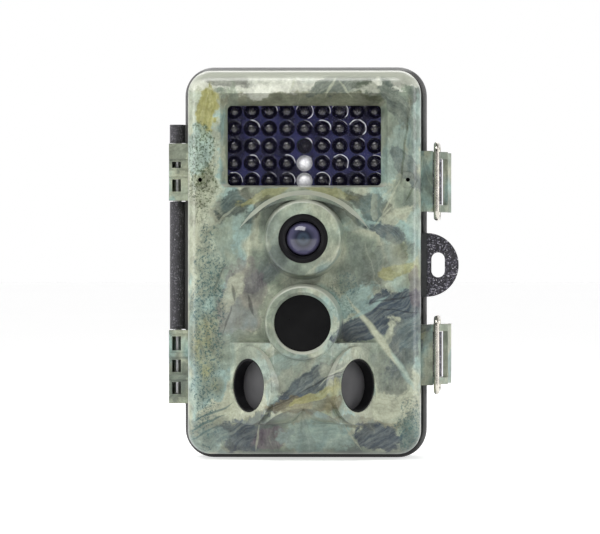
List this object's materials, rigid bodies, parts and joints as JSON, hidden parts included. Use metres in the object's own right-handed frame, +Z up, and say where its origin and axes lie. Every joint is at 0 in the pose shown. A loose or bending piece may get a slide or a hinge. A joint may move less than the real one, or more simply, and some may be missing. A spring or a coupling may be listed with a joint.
{
  "type": "trail camera",
  "caption": "Camouflaged weatherproof trail camera: hinged case drawn shut by bail latches, infrared lamp panel, hooded lens, front and side motion sensors.",
  "frame": {"origin": "centre of the tripod thread's mouth in the base of the rear half", "axes": "+Z up, the camera looks along -Y, +X to the right of someone who faces the lens"},
  "size_m": [0.1, 0.0766, 0.135],
  "materials": {
    "camo_print": "satin printed plastic",
    "black_plastic": "fine textured",
    "textured_black": "coarse textured",
    "seal_rubber": "matt",
    "cell_wrap": "printed foil",
    "spring_wire": "nickel plated",
    "steel": "satin",
    "latch_wire": "nickel plated",
    "brass_insert": "machined",
    "board_green": "solder mask",
    "chip_black": "moulded",
    "clear_window": "clear, faint violet",
    "led_panel": "glossy dark violet",
    "led_dark": "dark infrared resin",
    "led_clear": "water clear",
    "lens_glass": "violet coating",
    "pir_black": "flat",
    "pir_grey": "flat",
    "sensor_can": "drawn can",
    "panel_grey": "fine textured",
    "screen_glass": "clear",
    "screen_body": "glossy",
    "key_rubber": "matt",
    "card_blue": "moulded"
  },
  "bodies": {
    "rear_half": {"rear_shell": "camo_print", "rear_frame": "textured_black", "gasket": "seal_rubber", "battery_tray": "black_plastic", "battery_cells": "cell_wrap", "contact_springs": "spring_wire", "contact_plates": "spring_wire", "case_screws": "steel", "tripod_insert": "brass_insert", "power_socket": "chip_black", "hinge_pin": "steel", "lever_pins": "steel"},
    "front_half": {"front_shell": "camo_print", "lamp_window": "clear_window", "lamp_reflector": "led_panel", "infrared_leds": "led_dark", "status_leds": "led_clear", "light_sensor": "led_dark", "lamp_board": "board_green", "lens_retainer": "black_plastic", "lens_dome": "lens_glass", "lens_barrel": "black_plastic", "lens_inner_element": "lens_glass", "camera_board": "board_green", "filter_changer": "chip_black", "pir_window_front": "pir_black", "pir_sensors": "sensor_can", "pir_boards": "board_green", "pir_sleeve_left": "black_plastic", "pir_sleeve_right": "black_plastic", "pir_window_left": "pir_grey", "pir_window_right": "pir_grey", "inner_panel": "panel_grey", "screen_cover": "screen_glass", "screen": "screen_body", "switch_body": "steel", "speaker": "chip_black", "card_socket": "steel", "usb_socket": "steel", "main_board": "board_green", "tact_switches": "chip_black", "board_chips": "chip_black", "panel_screws": "steel"},
    "key_up": {"key_up": "key_rubber"},
    "key_down": {"key_down": "key_rubber"},
    "key_left": {"key_left": "key_rubber"},
    "key_right": {"key_right": "key_rubber"},
    "key_ok": {"key_ok": "key_rubber"},
    "key_menu": {"key_menu": "key_rubber"},
    "key_replay": {"key_replay": "key_rubber"},
    "mode_switch": {"switch_knob": "key_rubber"},
    "memory_card": {"memory_card": "card_blue"},
    "socket_cover": {"socket_cover": "seal_rubber"},
    "lever_top": {"lever_top": "camo_print", "bail_bushes_top": "steel"},
    "bail_top": {"bail_top": "latch_wire"},
    "lever_bottom": {"lever_bottom": "camo_print", "bail_bushes_bottom": "steel"},
    "bail_bottom": {"bail_bottom": "latch_wire"}
  },
  "joints": [
    {"name": "door_hinge", "type": "hinge", "parent": "rear_half", "child": "front_half", "pos_m": [-0.0446, -0.016, 0.0675], "axis": [0, 0, -1], "range_deg": [0, 150]},
    {"name": "lever_top_pivot", "type": "hinge", "parent": "rear_half", "child": "lever_top", "pos_m": [0.0449, -0.013, 0.0953], "axis": [0, 0, -1], "range_deg": [0, 135]},
    {"name": "bail_top_pivot", "type": "hinge", "parent": "lever_top", "child": "bail_top", "pos_m": [0.0457, -0.006, 0.0953], "axis": [0, 0, -1], "range_deg": [-135, 0]},
    {"name": "lever_bottom_pivot", "type": "hinge", "parent": "rear_half", "child": "lever_bottom", "pos_m": [0.0449, -0.013, 0.0357], "axis": [0, 0, -1], "range_deg": [0, 135]},
    {"name": "bail_bottom_pivot", "type": "hinge", "parent": "lever_bottom", "child": "bail_bottom", "pos_m": [0.0457, -0.006, 0.0357], "axis": [0, 0, -1], "range_deg": [-135, 0]},
    {"name": "key_up_press", "type": "slide", "parent": "front_half", "child": "key_up", "axis": [0, -1, 0], "range_m": [0, 0.0006], "stiffness_N_per_m": 1500},
    {"name": "key_down_press", "type": "slide", "parent": "front_half", "child": "key_down", "axis": [0, -1, 0], "range_m": [0, 0.0006], "stiffness_N_per_m": 1500},
    {"name": "key_left_press", "type": "slide", "parent": "front_half", "child": "key_left", "axis": [0, -1, 0], "range_m": [0, 0.0006], "stiffness_N_per_m": 1500},
    {"name": "key_right_press", "type": "slide", "parent": "front_half", "child": "key_right", "axis": [0, -1, 0], "range_m": [0, 0.0006], "stiffness_N_per_m": 1500},
    {"name": "key_ok_press", "type": "slide", "parent": "front_half", "child": "key_ok", "axis": [0, -1, 0], "range_m": [0, 0.0006], "stiffness_N_per_m": 1500},
    {"name": "key_menu_press", "type": "slide", "parent": "front_half", "child": "key_menu", "axis": [0, -1, 0], "range_m": [0, 0.0006], "stiffness_N_per_m": 1500},
    {"name": "key_replay_press", "type": "slide", "parent": "front_half", "child": "key_replay", "axis": [0, -1, 0], "range_m": [0, 0.0006], "stiffness_N_per_m": 1500},
    {"name": "mode_switch_slide", "type": "slide", "parent": "front_half", "child": "mode_switch", "axis": [1, 0, 0], "range_m": [0, 0.008]},
    {"name": "memory_card_slide", "type": "slide", "parent": "front_half", "child": "memory_card", "axis": [1, 0, 0], "range_m": [-0.001, 0.006]},
    {"name": "socket_cover_flap", "type": "hinge", "parent": "rear_half", "child": "socket_cover", "pos_m": [-0.0313, 0, 0.0001], "axis": [0, 1, 0], "range_deg": [0, 100]}
  ],
  "couplings": [
    {"joint": "bail_top_pivot", "follows": "lever_top_pivot", "ratio": -1},
    {"joint": "bail_bottom_pivot", "follows": "lever_bottom_pivot", "ratio": -1}
  ]
}
